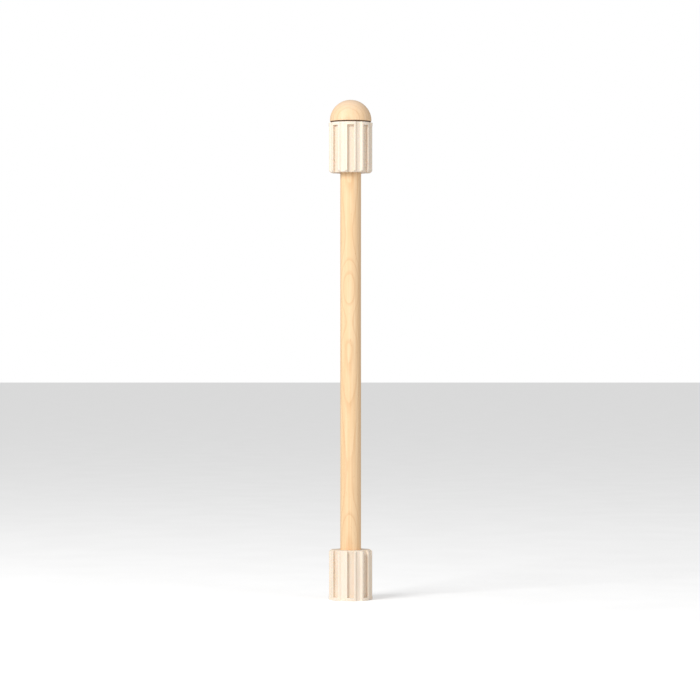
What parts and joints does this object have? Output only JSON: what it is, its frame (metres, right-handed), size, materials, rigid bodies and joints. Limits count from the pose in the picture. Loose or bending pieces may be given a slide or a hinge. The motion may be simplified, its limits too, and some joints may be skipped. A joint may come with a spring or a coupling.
{
  "type": "muddler",
  "caption": "Long bar muddler: plain wooden dowel with a fluted muddling head at the bottom, a matching fluted sleeve at the top and a half-ball palm knob over it.",
  "frame": {"origin": "centre of the flat muddling face, which the tool stands on", "axes": "+Z along the dowel towards the palm dome; one deep slot of each sleeve faces -Y"},
  "size_m": [0.0266, 0.0266, 0.3048],
  "materials": {
    "maple_rod": "satin",
    "maple_dome": "satin",
    "nylon": "satin",
    "gasket_rubber": "matt",
    "insert_brass": "turned",
    "bolt_steel": "zinc plated"
  },
  "bodies": {
    "root": {"handle_rod": "maple_rod", "palm_dome": "maple_dome", "upper_sleeve": "nylon", "muddling_head": "nylon", "dome_gasket": "gasket_rubber", "dome_insert": "insert_brass", "head_insert": "insert_brass", "upper_hanger_bolt": "bolt_steel", "lower_hanger_bolt": "bolt_steel", "sleeve_washer": "bolt_steel", "sleeve_nut": "bolt_steel"}
  },
  "joints": []
}
